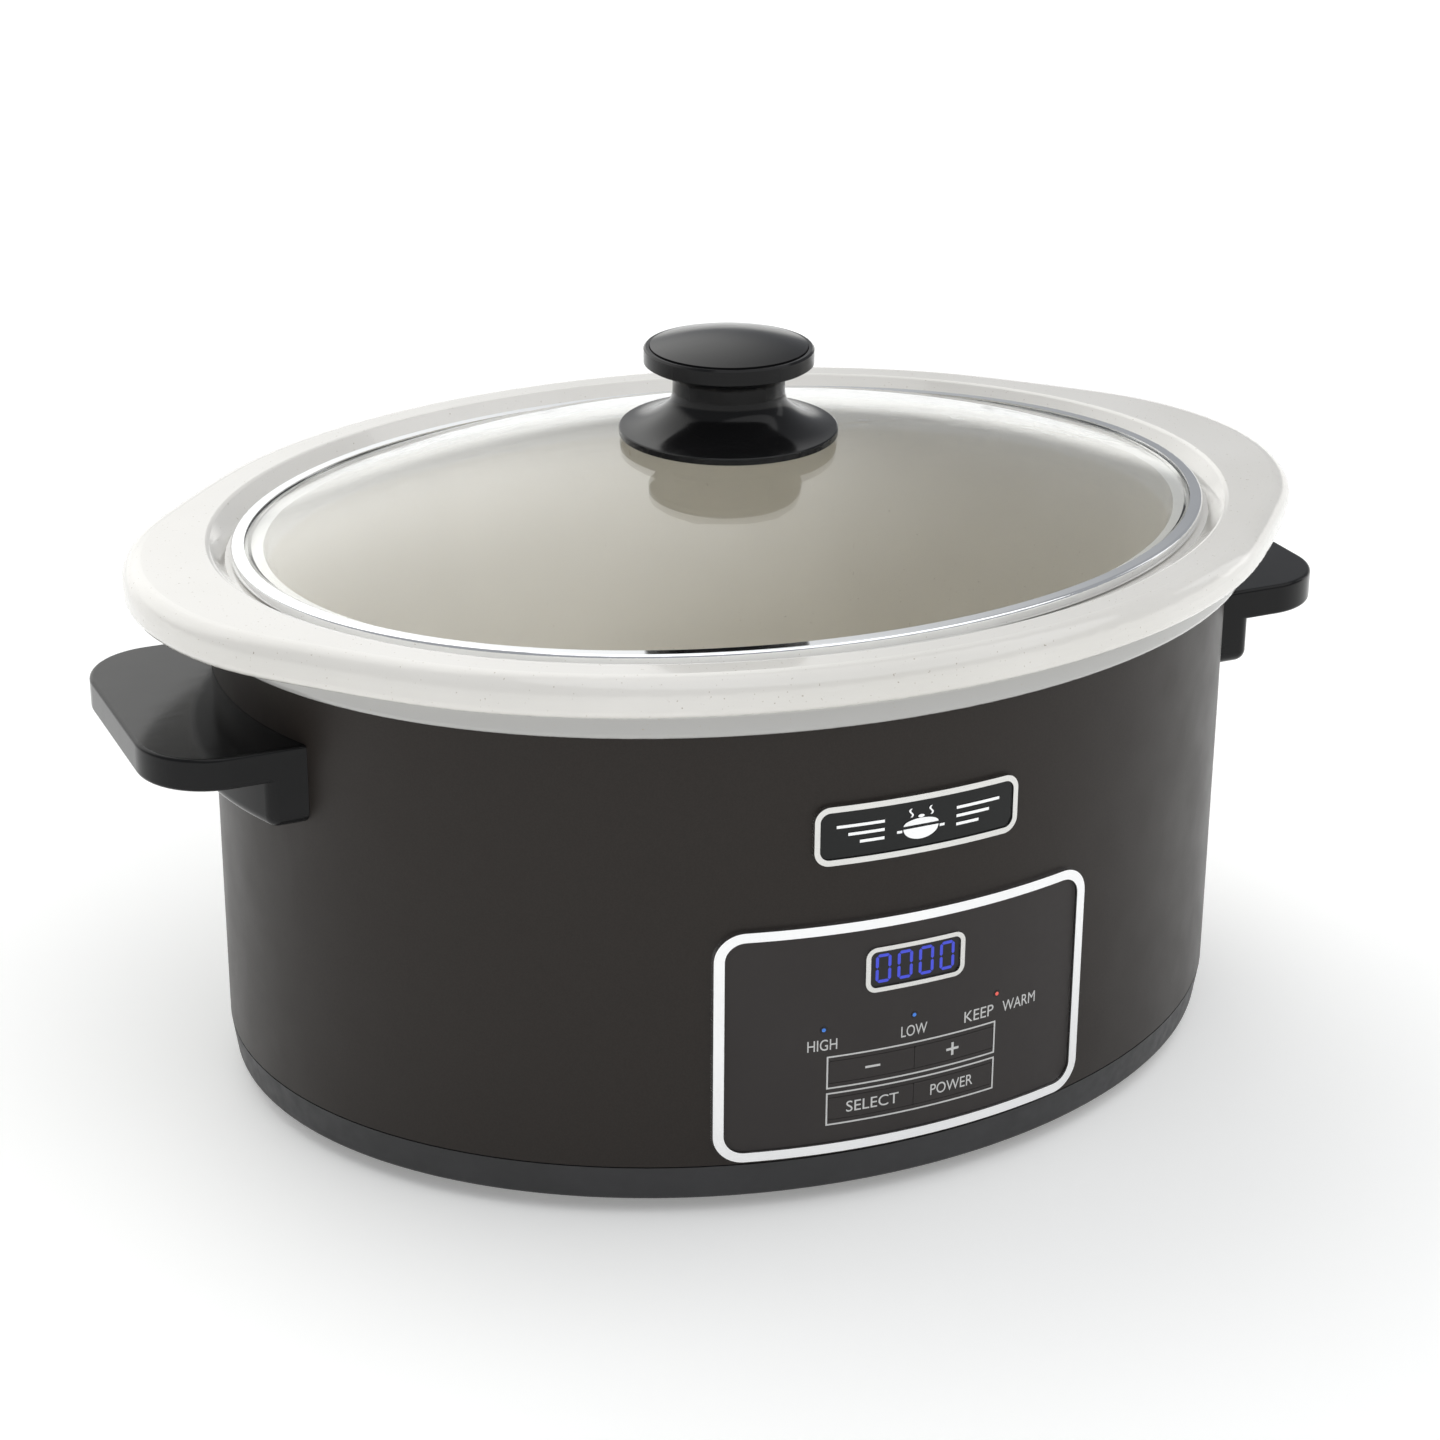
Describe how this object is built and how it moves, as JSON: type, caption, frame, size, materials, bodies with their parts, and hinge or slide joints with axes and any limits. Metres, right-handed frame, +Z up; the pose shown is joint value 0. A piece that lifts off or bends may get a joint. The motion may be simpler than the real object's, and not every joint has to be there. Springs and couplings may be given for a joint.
{
  "type": "slow cooker",
  "caption": "Oval countertop slow cooker with a lift-out stoneware crock, domed glass lid with knob, carry handles and a digital front panel.",
  "frame": {"origin": "centre of the footprint, on the surface the feet stand on", "axes": "+X to the right seen from the front, along the long axis; -Y to the front, where the panel is; +Z up"},
  "size_m": [0.3966, 0.2846, 0.2286],
  "materials": {
    "stoneware_glaze": "glossy glaze, opaque",
    "lid_glass": "clear, polished",
    "lid_rim_steel": "polished",
    "gloss_black": "glossy",
    "housing_paint": "satin metallic charcoal",
    "base_black": "fine matt grain",
    "bright_trim": "polished",
    "overlay_black": "satin film",
    "nameplate_black": "glossy",
    "display_smoke": "smoked, glossy",
    "key_black": "satin",
    "light_blue": "translucent",
    "light_red": "translucent",
    "aluminised_steel": "satin",
    "heater_mica": "mica and glass cloth",
    "fastener_steel": "zinc plated",
    "black_rubber": "matt",
    "board_green": "solder mask",
    "component_black": "moulded",
    "component_white": "moulded nylon",
    "component_yellow": "tape",
    "relay_blue": "moulded",
    "lead_sleeve": "glass-braid sleeve",
    "ribbon_grey": "flat cable"
  },
  "bodies": {
    "housing": {"housing_wall": "housing_paint", "base_tray": "base_black", "wall_brackets": "aluminised_steel", "base_screws": "fastener_steel", "heating_liner": "aluminised_steel", "heater_band": "heater_mica", "band_clamp_screw": "fastener_steel", "band_clamp_nut": "fastener_steel", "liner_stud": "fastener_steel", "stud_nut": "fastener_steel", "base_heat_shield": "aluminised_steel", "front_heat_shield": "aluminised_steel", "thermal_fuse": "component_white", "fuse_clip": "aluminised_steel", "temperature_sensor": "component_black", "sensor_bracket": "aluminised_steel", "panel_bezel": "bright_trim", "panel_overlay": "overlay_black", "display_frame": "bright_trim", "display_window": "display_smoke", "display_module": "component_black", "tact_switches": "component_black", "control_carrier": "component_black", "control_board": "board_green", "board_screws": "fastener_steel", "microcontroller": "component_black", "nameplate_frame": "bright_trim", "nameplate_plate": "nameplate_black", "power_board": "board_green", "power_board_screws": "fastener_steel", "relay": "relay_blue", "filter_capacitor": "component_yellow", "transformer": "component_yellow", "terminal_block": "component_white", "control_ribbon": "ribbon_grey", "heater_leads": "lead_sleeve", "handle_left": "gloss_black", "handle_right": "gloss_black", "handle_screws": "fastener_steel", "cord_gland": "black_rubber", "gland_nut": "component_black", "foot_front_left": "black_rubber", "foot_front_right": "black_rubber", "foot_rear_left": "black_rubber", "foot_rear_right": "black_rubber", "led_high": "light_blue", "led_low": "light_blue", "led_warm": "light_red"},
    "crock": {"stoneware_crock": "stoneware_glaze"},
    "lid": {"lid_glass": "lid_glass", "lid_rim": "lid_rim_steel", "knob_body": "gloss_black", "knob_cap": "gloss_black", "knob_screw": "fastener_steel", "knob_gasket": "black_rubber", "knob_washer": "fastener_steel"},
    "key_minus": {"key_minus": "key_black"},
    "key_plus": {"key_plus": "key_black"},
    "key_select": {"key_select": "key_black"},
    "key_power": {"key_power": "key_black"}
  },
  "joints": [
    {"name": "crock_lift", "type": "slide", "parent": "housing", "child": "crock", "axis": [0, 0, 1], "range_m": [0, 0.18]},
    {"name": "lid_lift", "type": "slide", "parent": "crock", "child": "lid", "axis": [0, 0, 1], "range_m": [0, 0.12]},
    {"name": "key_minus_press", "type": "slide", "parent": "housing", "child": "key_minus", "axis": [0, 1, 0], "range_m": [0, 0.0005], "stiffness_N_per_m": 3200},
    {"name": "key_plus_press", "type": "slide", "parent": "housing", "child": "key_plus", "axis": [0, 1, 0], "range_m": [0, 0.0005], "stiffness_N_per_m": 3200},
    {"name": "key_select_press", "type": "slide", "parent": "housing", "child": "key_select", "axis": [0, 1, 0], "range_m": [0, 0.0005], "stiffness_N_per_m": 3200},
    {"name": "key_power_press", "type": "slide", "parent": "housing", "child": "key_power", "axis": [0, 1, 0], "range_m": [0, 0.0005], "stiffness_N_per_m": 3200}
  ]
}
